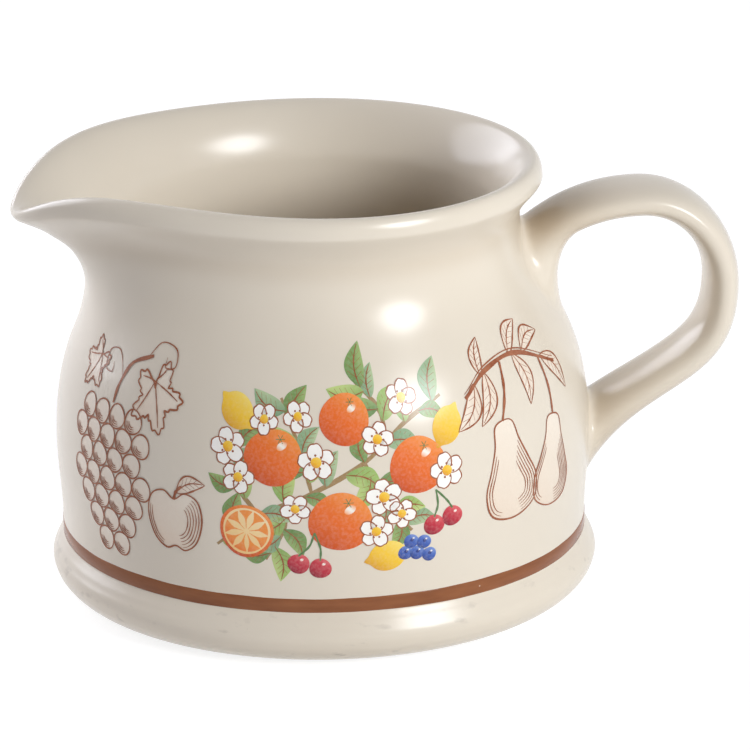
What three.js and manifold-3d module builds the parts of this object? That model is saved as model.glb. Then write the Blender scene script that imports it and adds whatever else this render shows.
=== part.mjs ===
// Creamer: a small glazed stoneware jug with a flared foot, a rolled rim, a pulled pouring lip and a
// strap handle that is stuck on with slip. Millimetres, +Z up. The jug stands on z = 0 with its lip
// towards -X and its handle towards +X, and x = 0 is the middle of its whole length.
import * as THREE from 'three';
import { mergeVertices } from 'three/addons/utils/BufferGeometryUtils.js';
import Module from 'manifold-3d';

const wasm = await Module();
wasm.setup();

// Jug, outside. Radii are from the jug's own upright axis.
const JUG_HEIGHT = 76.2;
const FOOT_RADIUS = 47.5;
const FOOT_WIDEST_Z = 5.8;
const FOOT_TOP_Z = 9.9;
const FOOT_EDGE = 0.7; // roundness of the foot where its slope meets its widest line
const WALL_RADIUS = 45.6;
const BELLY_RADIUS = 46.4;
const BELLY_Z = 27;
const NECK_RADIUS = 34.4;
const NECK_DEPTH = 9.7; // from the top of the rim down to the narrowest part of the neck
const RIM_RADIUS = 38.3;
const RIM_ROLL = 3.1; // from the rim's widest line up to its top
const RIM_EDGE = 1.7; // and in to its top

// Pull of the curves, as the lengths of their Bezier handles
const SHOULDER_PULL = 25; // upwards from the belly
const NECK_PULL = 14.5; // downwards from the neck
const FLARE_PULL = 3; // upwards from the neck, under the rim
const RIM_PULL = 0.9; // downwards from the rim's widest line
const MOUTH_PULL = 2.4; // inwards from the top of the rim
const THROAT_PULL = 3.4; // upwards from the narrowest line inside

// Jug, thicknesses and underside
const WALL_THICKNESS = 3.8;
const FLOOR_THICKNESS = 5;
const FLOOR_CORNER = 9; // radius where the floor turns up into the wall, inside
const FOOT_LAND_RADIUS = 39.8; // outer edge of the flat ring that the jug stands on
const FOOT_LAND_WIDTH = 4;
const BASE_RECESS = 1.8;

// Pouring lip, pulled out of the rim towards -X
const LIP_REACH = 16.4; // from the round rim to the tip
const LIP_DROP = 6.6; // the tip lies this far below the rim
const LIP_RISE = 1.9; // the flanks beside the tip stand this far above the rim
const LIP_DEPTH = 30.6; // from the top of the rim down to where the pull begins
const LIP_SOFTNESS = 0.24; // share of that depth over which the pull sets in
const LIP_REACH_FOCUS = 5.9; // the higher, the narrower the stretch of rim that moves out
const LIP_DROP_FOCUS = 24.2;
const LIP_RISE_FOCUS = 3.5;
const LIP_BEND = 2.1; // the higher, the closer to the rim the wall bends down
const LIP_FILL = 0.64; // the hollow under the rim is filled out by this much below the lip
const LIP_FILL_SPAN = 2.1; // half the height of that filled stretch
const LIP_FILL_FOCUS = 2.5;

// Handle: its outer edge is drawn in the plane y = 0, and the strap lies inside it
const HANDLE_STANDOFF = 26.4; // from the belly out to the loop's widest point
const LOOP_OVERHANG = 17.2; // from the top of the loop out to its widest point
const HANDLE_TOP_DEPTH = 6.1; // from the top of the rim down to the top of the loop
const HANDLE_WIDEST_Z = 51.8;
const HANDLE_START_DEPTH = 6.1; // the outer edge starts this far below the neck's narrowest line
const HANDLE_END_Z = 16.1; // and it ends at this height, inside the belly's wall
const UPPER_ARM_ANGLE = 35; // degrees that the edge climbs out of the neck
const UPPER_ARM_PULL = 8; // lengths of the edge's Bezier handles, from the neck to the belly
const LOOP_TOP_PULL = 11.5;
const LOOP_ROUNDNESS = 0.55; // share of a quarter turn, 0.55 is an ellipse
const LOOP_SIDE_PULL = 20.2;
const LOWER_ARM_PULL = 19.2;
const LOWER_ARM_ANGLE = 70; // degrees that the edge drops into the belly
const STRAP_THICKNESS = 5.8;
const STRAP_WIDTH = 14.5;
const STRAP_LOWER_WIDTH = 16.5;
const STRAP_ROUNDNESS = 2.6; // exponent of the section, 2 is an ellipse
const UPPER_ROOT_HEIGHT = 10.5; // extra depth of the strap where it meets the neck
const UPPER_ROOT_LENGTH = 18;
const UPPER_ROOT_FLARE = 4; // extra width there
const LOWER_ROOT_HEIGHT = 6;
const LOWER_ROOT_LENGTH = 20;
const LOWER_ROOT_FLARE = 6;
const ROOT_BURIAL = 3.4; // the loft starts this far inside the neck before it is cut

// Slip joints and painted band
const SLIP_THICKNESS = 0.6;
const SLIP_BEAD = 0.8; // slip squeezed out round the root
const SEAT_GAP = 0.3; // between a cut piece and its neighbour
const BAND_HEIGHT = 2.7;
const BAND_THICKNESS = 0.3;

// Fineness of the facets, as numbers of steps
const TURN_STEPS = 64;
const FOOT_STEPS = [6, 3]; // under and over the foot's widest line
const WALL_STEPS = [1, 3, 12]; // band, lower wall and shoulder
const FLARE_STEPS = 7;
const ROLL_STEPS = 4;
const MOUTH_STEPS = 8;
const CORNER_STEPS = 5;
const RAIL_STEPS = [12, 8, 14]; // upper arm, loop and lower arm
const SECTION_STEPS = 20;
const MERGE_DISTANCE = 1e-4; // points closer than this count as one

// Places that follow from the sizes above
const RIM_Z = JUG_HEIGHT - RIM_ROLL;
const NECK_Z = JUG_HEIGHT - NECK_DEPTH;
const FLOOR_Z = BASE_RECESS + FLOOR_THICKNESS;
const BAND_TOP_Z = FOOT_TOP_Z + BAND_HEIGHT;
const HANDLE_REACH = BELLY_RADIUS + HANDLE_STANDOFF;
const HANDLE_TOP_X = HANDLE_REACH - LOOP_OVERHANG;
const HANDLE_TOP_Z = JUG_HEIGHT - HANDLE_TOP_DEPTH;

// Glaze and enamel colours
const GLAZE = { color: 0xe6decd, roughness: 0.16, metalness: 0 };
const FIRED_SLIP = { color: 0xdfd5c1, roughness: 0.35, metalness: 0 };
const ENAMEL = { color: 0x95593b, roughness: 0.22, metalness: 0 };

const at = (r, z) => new THREE.Vector2(r, z);
const turned = (length, degrees) => at(length, 0).rotateAround(at(0, 0), THREE.MathUtils.degToRad(degrees));
const line = (a, b) => new THREE.LineCurve(a, b);
const bezier = (a, b, c, d) => new THREE.CubicBezierCurve(a, b, c, d);

// Points along a chain of curves, each in its own number of steps
function trace(curves, steps) {
  return curves.flatMap((curve, i) => curve.getPoints(steps[i]).slice(i ? 1 : 0));
}

// Points moved sideways off their own line, to the right of its direction
function offsetLine(points, distance) {
  return points.map((p, i) => {
    const before = points[Math.max(i - 1, 0)];
    const after = points[Math.min(i + 1, points.length - 1)];
    const along = after.clone().sub(before).normalize();
    return at(p.x + along.y * distance, p.y - along.x * distance);
  });
}

// Solid of revolution about the jug's axis
function revolve(points) {
  const geometry = new THREE.LatheGeometry(points, TURN_STEPS);
  geometry.rotateX(Math.PI / 2);
  return geometry;
}

// Outside of the foot, from the ring that it stands on up to the wall
function footLine() {
  const widest = at(FOOT_RADIUS, FOOT_WIDEST_Z);
  const roll = FOOT_RADIUS - FOOT_LAND_RADIUS;
  const under = new THREE.EllipseCurve(
    FOOT_LAND_RADIUS, FOOT_WIDEST_Z, roll, FOOT_WIDEST_Z, -Math.PI / 2, 0,
  );
  const crown = at(FOOT_RADIUS, FOOT_WIDEST_Z + FOOT_EDGE);
  const over = new THREE.QuadraticBezierCurve(widest, crown, at(WALL_RADIUS, FOOT_TOP_Z));
  return trace([under, over], FOOT_STEPS);
}

// Outside of the wall, from the foot past the painted band, belly and shoulder to the neck
function wallLine() {
  const foot = at(WALL_RADIUS, FOOT_TOP_Z);
  const band = at(WALL_RADIUS, BAND_TOP_Z);
  const belly = at(BELLY_RADIUS, BELLY_Z);
  const rise = (BELLY_Z - BAND_TOP_Z) / 3;
  const lower = bezier(band, at(WALL_RADIUS, BAND_TOP_Z + rise), at(BELLY_RADIUS, BELLY_Z - rise), belly);
  const full = at(BELLY_RADIUS, BELLY_Z + SHOULDER_PULL);
  const shoulder = bezier(belly, full, at(NECK_RADIUS, NECK_Z - NECK_PULL), at(NECK_RADIUS, NECK_Z));
  return trace([line(foot, band), lower, shoulder], WALL_STEPS);
}

// Outside of the rim's flare, from the neck to the rim's widest line
function flareLine() {
  const flare = bezier(
    at(NECK_RADIUS, NECK_Z),
    at(NECK_RADIUS, NECK_Z + FLARE_PULL),
    at(RIM_RADIUS, RIM_Z - RIM_PULL),
    at(RIM_RADIUS, RIM_Z),
  );
  return flare.getPoints(FLARE_STEPS);
}

// Half section of the whole jug: underside, outside, over the rim and down the inside to the floor
function jugOutline() {
  const landInside = FOOT_LAND_RADIUS - FOOT_LAND_WIDTH;
  const underside = [at(0, BASE_RECESS), at(landInside - BASE_RECESS, BASE_RECESS), at(landInside, 0)];
  const wall = wallLine();
  const topRadius = RIM_RADIUS - RIM_EDGE;
  const roll = new THREE.EllipseCurve(topRadius, RIM_Z, RIM_EDGE, RIM_ROLL, 0, Math.PI / 2);
  const inner = offsetLine(wall, -WALL_THICKNESS).reverse();
  const throat = inner[0];
  const mouth = bezier(
    at(topRadius, JUG_HEIGHT),
    at(topRadius - MOUTH_PULL, JUG_HEIGHT),
    at(throat.x, throat.y + THROAT_PULL),
    throat,
  );
  const cornerTop = FLOOR_Z + FLOOR_CORNER;
  const innerWall = inner.filter((p) => p.y > cornerTop);
  const wallFoot = innerWall[innerWall.length - 1].x;
  const corner = new THREE.EllipseCurve(
    wallFoot - FLOOR_CORNER, cornerTop, FLOOR_CORNER, FLOOR_CORNER, 0, -Math.PI / 2, true,
  );
  return [
    ...underside,
    ...footLine(),
    ...wall.slice(1),
    ...flareLine().slice(1),
    ...roll.getPoints(ROLL_STEPS).slice(1),
    ...mouth.getPoints(MOUTH_STEPS).slice(1),
    ...innerWall.slice(1),
    ...corner.getPoints(CORNER_STEPS),
    at(0, FLOOR_Z),
  ];
}

// Moves the upper wall and rim into the pouring lip. Each point moves by how nearly it faces -X and
// by how high it lies in the pulled stretch.
function pullLip(geometry) {
  const position = geometry.attributes.position;
  const begin = JUG_HEIGHT - LIP_DEPTH;
  const soft = (share) => Math.hypot(share, LIP_SOFTNESS) - LIP_SOFTNESS;
  for (let i = 0; i < position.count; i++) {
    const [x, y, z] = [position.getX(i), position.getY(i), position.getZ(i)];
    if (z <= begin) continue;
    const share = (z - begin) / LIP_DEPTH;
    const facing = (1 - x / Math.hypot(x, y)) / 2;
    const pull = soft(share) / soft(1);
    const bend = share ** LIP_BEND;
    const hollow = (z - NECK_Z - FLARE_PULL / 2) / LIP_FILL_SPAN;
    const fill = LIP_FILL * Math.exp(-(hollow ** 2)) * facing ** LIP_FILL_FOCUS;
    const rise = LIP_RISE * facing ** LIP_RISE_FOCUS;
    const drop = (LIP_DROP + LIP_RISE) * facing ** LIP_DROP_FOCUS;
    position.setXYZ(
      i,
      x - LIP_REACH * pull * facing ** LIP_REACH_FOCUS - fill,
      y,
      z + (rise - drop) * bend,
    );
  }
  return geometry;
}

// The jug's outside as a solid without its hollow, grown by a distance, for cutting the handle to it
function jugSolid(growth) {
  const outside = offsetLine([...footLine(), ...wallLine().slice(1), ...flareLine().slice(1)], growth);
  const bottom = at(0, outside[0].y);
  const top = at(0, outside[outside.length - 1].y);
  return toManifold(revolve([bottom, ...outside, top]));
}

// Stations along the handle: outer and inner edge of the strap in the plane y = 0, and its width
function handleStations() {
  const start = at(NECK_RADIUS - ROOT_BURIAL, NECK_Z - HANDLE_START_DEPTH);
  const top = at(HANDLE_TOP_X, HANDLE_TOP_Z);
  const widest = at(HANDLE_REACH, HANDLE_WIDEST_Z);
  const end = at(BELLY_RADIUS - SEAT_GAP, HANDLE_END_Z);
  const climb = turned(UPPER_ARM_PULL, UPPER_ARM_ANGLE).add(start);
  const land = turned(LOWER_ARM_PULL, LOWER_ARM_ANGLE).add(end);
  const acrossTop = HANDLE_TOP_X + LOOP_ROUNDNESS * (HANDLE_REACH - HANDLE_TOP_X);
  const downSide = HANDLE_WIDEST_Z + LOOP_ROUNDNESS * (HANDLE_TOP_Z - HANDLE_WIDEST_Z);
  const rails = [
    bezier(start, climb, at(HANDLE_TOP_X - LOOP_TOP_PULL, HANDLE_TOP_Z), top),
    bezier(top, at(acrossTop, HANDLE_TOP_Z), at(HANDLE_REACH, downSide), widest),
    bezier(widest, at(HANDLE_REACH, HANDLE_WIDEST_Z - LOOP_SIDE_PULL), land, end),
  ];
  const outer = trace(rails, RAIL_STEPS);
  const lengths = [0];
  for (let i = 1; i < outer.length; i++) lengths.push(lengths[i - 1] + outer[i].distanceTo(outer[i - 1]));
  const total = lengths[lengths.length - 1];
  const flare = (distance, length) => Math.max(0, 1 - distance / length) ** 2;
  const thickness = lengths.map((s) => STRAP_THICKNESS
    + UPPER_ROOT_HEIGHT * flare(s, UPPER_ROOT_LENGTH)
    + LOWER_ROOT_HEIGHT * flare(total - s, LOWER_ROOT_LENGTH));
  const width = lengths.map((s) => THREE.MathUtils.lerp(STRAP_WIDTH, STRAP_LOWER_WIDTH, s / total)
    + UPPER_ROOT_FLARE * flare(s, UPPER_ROOT_LENGTH)
    + LOWER_ROOT_FLARE * flare(total - s, LOWER_ROOT_LENGTH));
  return outer.map((p, i) => {
    const before = outer[Math.max(i - 1, 0)];
    const after = outer[Math.min(i + 1, outer.length - 1)];
    const along = after.clone().sub(before).normalize();
    const inner = at(p.x + along.y * thickness[i], p.y - along.x * thickness[i]);
    return { outer: p, inner, width: width[i] };
  });
}

// Closed skin over a row of rounded sections, each grown on all sides by a distance
function loftStrap(stations, growth = 0) {
  const rounded = (value) => Math.sign(value) * Math.abs(value) ** (2 / STRAP_ROUNDNESS);
  const vertices = [];
  const triangles = [];
  stations.forEach(({ outer, inner, width }) => {
    const middle = outer.clone().add(inner).multiplyScalar(0.5);
    const half = outer.clone().sub(inner).multiplyScalar(0.5);
    half.setLength(half.length() + growth);
    for (let k = 0; k < SECTION_STEPS; k++) {
      const angle = (2 * Math.PI * k) / SECTION_STEPS;
      const lift = rounded(Math.cos(angle));
      const side = rounded(Math.sin(angle)) * (width / 2 + growth);
      vertices.push(middle.x + half.x * lift, side, middle.y + half.y * lift);
    }
  });
  const ring = (i, k) => i * SECTION_STEPS + (k % SECTION_STEPS);
  for (let i = 0; i + 1 < stations.length; i++) {
    for (let k = 0; k < SECTION_STEPS; k++) {
      triangles.push(ring(i, k), ring(i + 1, k), ring(i, k + 1));
      triangles.push(ring(i, k + 1), ring(i + 1, k), ring(i + 1, k + 1));
    }
  }
  const last = stations.length - 1;
  for (let k = 1; k + 1 < SECTION_STEPS; k++) {
    triangles.push(ring(0, 0), ring(0, k), ring(0, k + 1));
    triangles.push(ring(last, 0), ring(last, k + 1), ring(last, k));
  }
  const geometry = new THREE.BufferGeometry();
  geometry.setAttribute('position', new THREE.Float32BufferAttribute(vertices, 3));
  geometry.setIndex(triangles);
  return geometry;
}

// A closed geometry as a solid that can be joined and cut
function toManifold(geometry) {
  const bare = geometry.clone();
  bare.deleteAttribute('normal');
  bare.deleteAttribute('uv');
  const merged = mergeVertices(bare, MERGE_DISTANCE);
  const corners = merged.index.array;
  const triVerts = [];
  for (let i = 0; i < corners.length; i += 3) {
    const [a, b, c] = corners.slice(i, i + 3);
    if (a !== b && b !== c && c !== a) triVerts.push(a, b, c);
  }
  return new wasm.Manifold(new wasm.Mesh({
    numProp: 3,
    vertProperties: new Float32Array(merged.attributes.position.array),
    triVerts: new Uint32Array(triVerts),
  }));
}

function toGeometry(solid) {
  const mesh = solid.getMesh();
  const geometry = new THREE.BufferGeometry();
  geometry.setAttribute('position', new THREE.Float32BufferAttribute(mesh.vertProperties, mesh.numProp));
  geometry.setIndex(new THREE.Uint32BufferAttribute(mesh.triVerts, 1));
  return geometry;
}

function piece(name, geometry, finish) {
  geometry.computeVertexNormals();
  const mesh = new THREE.Mesh(geometry, new THREE.MeshStandardMaterial(finish));
  mesh.name = name;
  return mesh;
}

// Jug
const jugBody = piece('jug_body', pullLip(revolve(jugOutline())), GLAZE);

// Handle, cut to the jug with room for the slip under its roots
const stations = handleStations();
const middleStation = RAIL_STEPS[0] + RAIL_STEPS[1];
const slipInside = jugSolid(SEAT_GAP);
const slipOutside = jugSolid(SEAT_GAP + SLIP_THICKNESS);
const rootCut = jugSolid(2 * SEAT_GAP + SLIP_THICKNESS);
const handle = piece('handle', toGeometry(toManifold(loftStrap(stations)).subtract(rootCut)), GLAZE);

// Slip joints: the layer between jug and handle, with the bead that is squeezed out round it
function slipJoint(name, rootStations) {
  const pad = toManifold(loftStrap(rootStations, SLIP_BEAD)).intersect(slipOutside).subtract(slipInside);
  return piece(name, toGeometry(pad), FIRED_SLIP);
}
const upperSlip = slipJoint('upper_slip_joint', stations.slice(0, middleStation));
const lowerSlip = slipJoint('lower_slip_joint', stations.slice(middleStation));

// Painted band round the wall above the foot
const bandOuter = WALL_RADIUS + BAND_THICKNESS;
const bandOutline = [
  at(WALL_RADIUS, FOOT_TOP_Z),
  at(bandOuter, FOOT_TOP_Z),
  at(bandOuter, BAND_TOP_Z),
  at(WALL_RADIUS, BAND_TOP_Z),
  at(WALL_RADIUS, FOOT_TOP_Z),
];
const brownBand = piece('brown_band', revolve(bandOutline), ENAMEL);

// Whole creamer, with x = 0 in the middle of its length
const creamer = new THREE.Group();
creamer.add(jugBody, handle, upperSlip, lowerSlip, brownBand);
creamer.position.x = -new THREE.Box3().setFromObject(creamer).getCenter(new THREE.Vector3()).x;

export default creamer;
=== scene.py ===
# Looks of the creamer: glazed jug, strap handle, brown band and printed fruit
import math

import bmesh
import bpy
import numpy as np
from mathutils import Matrix, Vector
from mathutils.kdtree import KDTree


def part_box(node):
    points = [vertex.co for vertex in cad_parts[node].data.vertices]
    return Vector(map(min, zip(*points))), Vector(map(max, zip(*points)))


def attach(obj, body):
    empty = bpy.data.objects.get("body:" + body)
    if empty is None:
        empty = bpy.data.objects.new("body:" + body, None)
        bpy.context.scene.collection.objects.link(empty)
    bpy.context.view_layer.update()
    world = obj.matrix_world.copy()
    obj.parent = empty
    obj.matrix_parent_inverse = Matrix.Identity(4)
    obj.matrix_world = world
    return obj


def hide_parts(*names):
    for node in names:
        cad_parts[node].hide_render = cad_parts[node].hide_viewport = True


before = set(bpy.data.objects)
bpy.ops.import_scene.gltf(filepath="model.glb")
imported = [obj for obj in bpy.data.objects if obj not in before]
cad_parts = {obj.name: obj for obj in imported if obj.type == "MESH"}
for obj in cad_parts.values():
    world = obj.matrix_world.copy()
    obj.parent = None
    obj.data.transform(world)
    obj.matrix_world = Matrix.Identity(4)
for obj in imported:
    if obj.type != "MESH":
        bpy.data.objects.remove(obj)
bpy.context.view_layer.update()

# Sizes in millimetres from the jug's upright axis, with the handle shaped closer than in the solids
JUG_HEIGHT = 76.2
FOOT_RADIUS = 47.5
FOOT_WIDEST_Z = 5.8
FOOT_TOP_Z = 9.9
FOOT_EDGE = 0.7
WALL_RADIUS = 45.6
BELLY_RADIUS = 46.4
BELLY_Z = 27.0
NECK_RADIUS = 34.4
NECK_DEPTH = 9.7
RIM_RADIUS = 38.3
RIM_ROLL = 3.1
RIM_EDGE = 1.7
SHOULDER_PULL = 25.0
NECK_PULL = 14.5
FLARE_PULL = 3.0
RIM_PULL = 0.9
MOUTH_PULL = 2.4
THROAT_PULL = 3.4
WALL_THICKNESS = 3.8
FLOOR_THICKNESS = 5
FLOOR_CORNER = 9
FOOT_LAND_RADIUS = 39.8
FOOT_LAND_WIDTH = 4
BASE_RECESS = 1.8
FLAT_MIDDLE = 2
LIP_REACH = 16.4
LIP_DROP = 6.6
LIP_RISE = 1.9
LIP_DEPTH = 30.6
LIP_SOFTNESS = 0.24
LIP_REACH_FOCUS = 5.9
LIP_DROP_FOCUS = 24.2
LIP_RISE_FOCUS = 3.5
LIP_BEND = 2.1
LIP_FILL = 0.64
LIP_FILL_SPAN = 2.1
LIP_FILL_FOCUS = 2.5
HANDLE_STANDOFF = 26.4
LOOP_OVERHANG = 17.2
HANDLE_TOP_DEPTH = 6.1
HANDLE_WIDEST_Z = 51.8
HANDLE_START_DEPTH = 6.1
HANDLE_END_Z = 18.6
UPPER_ARM_ANGLE = 35
UPPER_ARM_PULL = 8
LOOP_TOP_PULL = 11.5
LOOP_ROUNDNESS = 0.55
LOOP_SIDE_PULL = 20.2
LOWER_ARM_PULL = 19.2
LOWER_ARM_ANGLE = 61
STRAP_THICKNESS = 5.8
STRAP_WIDTH = 14.5
STRAP_LOWER_WIDTH = 16.5
STRAP_ROUNDNESS = 2.25
UPPER_ROOT_HEIGHT = 12
UPPER_ROOT_LENGTH = 13.5
UPPER_ROOT_FLARE = 4
LOWER_ROOT_HEIGHT = 4.2
LOWER_ROOT_LENGTH = 20
LOWER_ROOT_FLARE = 3.0
ROOT_BURIAL = 3.4
SEAT_GAP = 0.3
BAND_HEIGHT = 2.7

RIM_Z = JUG_HEIGHT - RIM_ROLL
NECK_Z = JUG_HEIGHT - NECK_DEPTH
FLOOR_Z = BASE_RECESS + FLOOR_THICKNESS
BAND_TOP_Z = FOOT_TOP_Z + BAND_HEIGHT
HANDLE_REACH = BELLY_RADIUS + HANDLE_STANDOFF
HANDLE_TOP_X = HANDLE_REACH - LOOP_OVERHANG
HANDLE_TOP_Z = JUG_HEIGHT - HANDLE_TOP_DEPTH

# The scene is in metres, and the jug's axis stands in the middle of the band's box
MM = 0.001
band_low, band_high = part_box("brown_band")
AXIS_X = (band_low.x + band_high.x) / 2

# Fineness of the meshes: steps round the jug and the strap, and along stretches of an outline
TURN_STEPS = 288
SECTION_STEPS = 64
STRAP_SAMPLES = 600
STRAP_STEPS = 96
FILLET_STEPS = 14
BASE_STEPS = (12, 10)
FOOT_STEPS = (40, 32)
WALL_STEPS = (8, 20, 60)
FLARE_STEPS = 16
ROLL_STEPS = 14
MOUTH_STEPS = 24
FLOOR_STEPS = (16, 14)

# Rounder rim edge at the lip, and faint rings of the turning tool on the foot with their fading ends
LIP_EDGE = 3.0
TOOL_RING_DEPTH = 0.012
TOOL_RING_PITCH = 1.6
TOOL_RING_ENDS = (2, 1)

# Soft curves where the handle grows out of the jug: their reach on the outer and the inner side
UPPER_FILLET = (2.0, 3.2)
LOWER_FILLET = (0.5, 2.2)
FILLET_SINK = 0.004
FILLET_HEM = 0.6
FILLET_HEM_SINKS = (0.03, 0.5)

# Painted shade, a darker glaze colour: how far it spreads from the handle's roots, under the rim and
# inside
ROOT_PAINTED_SHADE = (1.0, 12.5)
ROOT_PAINTED_SHADE_RISE = 3.5
CORNER_PAINTED_SHADE = (0.35, 4.5)
PAINTED_SHADE_HEIGHTS = (57.5, 65.5)
LOWER_PAINTED_SHADE = 0.5
LOWER_PAINTED_SHADE_HEIGHTS = (34, 46)
RIM_PAINTED_SHADE = (0.3, 2.4)
INSIDE_PAINTED_SHADE = (0.32, 30)

# Thickness of the painted band and how its edges fade and waver: waves round it, their start and share
PAINT_DEPTH = 0.06
PAINT_ROOT = 0.18
BAND_SOFTNESS = 0.2
BAND_WAVER = 0.05
BAND_WAVES = [(5, 1, 1), (13, 2, 0.6), (31, 0, 0.4)]
LOWER_WAVER = 0.5

# Printed transfers: where their middle sits round the jug, their thickness and their thin layers
PRINT_MIDDLE = -93
PRINT_LIFT = 0.012
PRINT_STEP = 0.006
PRINT_WELD = 0.0003
BLUSH_LEVEL = 2
APPLE_LEVEL = 3
LEAF_LEVELS = 4
VEIN_LEVEL = 5
FRUIT_LEVEL = 6
PETAL_LEVEL = 8
EYE_LEVEL = 11
PEN_LEVEL = 13
HALF_LEVEL = 0.5
SHINE_LEVEL = 0.6

# Widths of the pen's and the brush's lines, and how they shake and taper
PEN = 0.3
FINE_PEN = 0.24
VEIN_PEN = 0.15
PETAL_PEN = 0.21
HATCH_PEN = 0.18
STAR_PEN = 0.27
STEM_PEN = 0.66
APPLE_PEN = 0.54
PEAR_PEN = 0.57
CHERRY_PEN = 0.35
BRANCH_PEN = 0.72
TWIG = 0.8
PEN_SHAKE = 0.18
SHAKE_WAVES = 9
ANY_START = 6
TAPER = 0.6
LESS_TAPER = 0.3
LEAST_TAPER = 0.2

# Points, rows and steps of the printed shapes
CURVE_STEPS = 8
OUTLINE_STEPS = 6
TENDRIL_STEPS = 12
WASH_RINGS = 7
ROUND_POINTS = 49
LEAF_ROWS = 15
LEAF_COLUMNS = 7
PEN_LEAF_POINTS = 21
PETAL_POINTS = 29
SEGMENT_POINTS = 15
VINE_LEAF_POINTS = 181

# How a wash is lit, and how its light and deep sides set in
WASH_LIT = (0.5, 0.75)
LIGHT_EASE = 1.3
DEEP_EASE = 1.2
ROUND_WAVER = 0.02
ROUND_WAVES = 3

# Leaves: length, width and angle on a twig with their changes, shape, shade and veins
LEAF_LENGTH = 6.2
LEAF_WIDTH = 3.4
LEAF_ANGLE = 48
LEAF_ANGLE_CHANGE = 12
LEAF_LENGTH_CHANGE = (0.8, 1.15)
LEAF_BEND = 0.15
LEAF_FULLNESS = (0.85, 0.9)
LEAF_SHADE = 0.7
VEIN_ROWS = (3, 5, 7, 9)
VEIN_CLIMB = 2
VEIN_REACH = 0.75

# The coloured print: its twigs with the spots of their leaves, its fruit and its blossoms
BOUGH_SEED = 11
BOUGH_TWIGS = [
    ([(-13, 27.5), (-17, 33), (-16.5, 41)], (0.3, 0.5, 0.7, 0.85, 0.98)),
    ([(-4, 31.5), (-6, 39), (-9.5, 47)], (0.15, 0.3, 0.5, 0.66, 0.84, 0.98)),
    ([(5, 36.5), (8, 30), (13, 24)], (0.2, 0.36, 0.55, 0.75, 0.9, 0.98)),
    ([(-8, 29.8), (-9, 24.5), (-12, 19.5)], (0.3, 0.5, 0.66, 0.84, 0.98)),
    ([(9, 39.6), (8, 45), (4, 49.5)], (0.35, 0.55, 0.75, 0.9, 0.98)),
    ([(-20.5, 21.5), (-13, 27.5), (-4, 31.5), (5, 36.5), (12.5, 42.5), (20, 46)],
     (0.03, 0.12, 0.22, 0.32, 0.4, 0.48, 0.56, 0.64, 0.74, 0.84, 0.92, 0.98)),
]
ORANGE_SPOTS = [((-10.6, 37.4), 5.0), ((0.8, 26.4), 5.4), ((14.4, 35.2), 5.1), ((1.8, 43.6), 4.4)]
CUT_ORANGE_SPOT = ((-15.2, 24.4), 4.7)
LEMON_SPOTS = [((20.4, 41.0), 55), ((8.8, 19.8), 12), ((-17.4, 44.6), -40)]
CHERRY_SPOTS = [
    ((-3.6, 24.6), [(-6.4, 18.9), (-2.7, 18.1)]),
    ((17.4, 30.6), [(17.0, 24.4), (20.4, 25.5)]),
]
BERRY_SPOTS = [(12.9, 22.0), (15.2, 21.6), (14.0, 19.8), (16.2, 19.2), (11.9, 20.0)]
BLOSSOMS = [
    (-16.6, 33.8), (-3.2, 36.8), (-6.4, 44.2), (7.4, 40.2), (8.2, 30.4), (-6.8, 28.8),
    (12.4, 46.4), (19.6, 33.6), (-12.4, 43.6), (6.8, 24.4), (-18.6, 38.8), (11.2, 27.2),
]
BLOSSOM_SIZE = 2.6
BLOSSOM_CHANGE = 0.3
BLOSSOM_WAVE = 2.1
BLOSSOM_TURN = 25

# Half sizes of the small fruit, and shapes of fruit and blossom as shares of their own size
LEMON = (3.3, 2.7)
LEMON_TIP = (0.28, 0.2)
CHERRY = (1.9, 1.8)
CHERRY_BEND = (0.5, 0.4)
CHERRY_DIMPLE = 1.4
BERRY = (1.3, 1.25)
BERRY_EYE = (0.32, 0.3)
BERRY_EYE_SHIFT = (0.1, 0.2)
ORANGE_HEIGHT = 0.95
ORANGE_TOP = (0.25, 0.62)
STAR_REACH = 0.16
STAR_RAYS = 6
SHINE_PLACE = (0.3, 0.42)
SHINE_PATCH = (0.2, 0.13)
SHINE_TURN = 35
PITH_REACH = 0.88
SEGMENTS = 9
SEGMENT_TURN = 10
SEGMENT_SPREAD = 18
SEGMENT_REACH = (0.1, 0.8)
SEGMENT_HEART = 0.5
PETAL_COUNT = 5
PETAL = (0.56, 0.46)
PETAL_PLACE = 0.58
PETAL_NOTCH = (0.12, 0.16)
PETAL_HEART = 0.3
EYE = 0.32
DOTS = 7
DOT = 0.07
DOT_PLACE = 0.42
DOT_TURN = 20

# The left print: grapes in rows, their stem, tendrils and leaves, and the apple beside them
VINE_SEED = 23
GRAPE = 2.15
GRAPE_ROWS = (4, 5, 4, 5, 4, 3, 2)
GRAPE_ROW_DROP = 1.72
GRAPE_ROW_SHIFT = 0.25
GRAPE_FILL = 0.96
GRAPE_WAVER = 0.035
GRAPE_SHADE = (24, 40, (0.8, 0.62, 0.44))
BUNCH_TOP = (-45, 39.5)
VINE_STEM = [(-44.5, 41.5), (-44, 45), (-42, 48.5), (-37, 50.5)]
TENDRILS = [
    [(-43.8, 45.8), (-46.2, 49.6), (-49.4, 49.2), (-49.6, 46.4), (-47.4, 46.0), (-47.4, 47.6)],
    [(-38.2, 50.2), (-35.4, 52.8), (-31.8, 52.2), (-31.4, 49.6), (-33.6, 49.2), (-33.6, 50.8)],
]
VINE_LEAVES = [((-34.4, 44.4), 6.2, -70), ((-53.0, 46.2), 4.6, -120)]
LOBES = 5
LOBE_REACH = (0.74, 0.2)
TEETH = 25
TOOTH = 0.05
LEAF_NOTCH = (0.25, 0.25)
LEAF_FOOT = -0.42
LOBE_RIB = 0.8
RIB_BEND = (0.55, 0.04)
APPLE_SPOT = ((-28.6, 24.4), 5.4)
HALF_APPLE = [(0, 0.72), (0.4, 0.95), (0.86, 0.74), (1, 0.1), (0.78, -0.62), (0.36, -0.95), (0, -0.84)]
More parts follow.
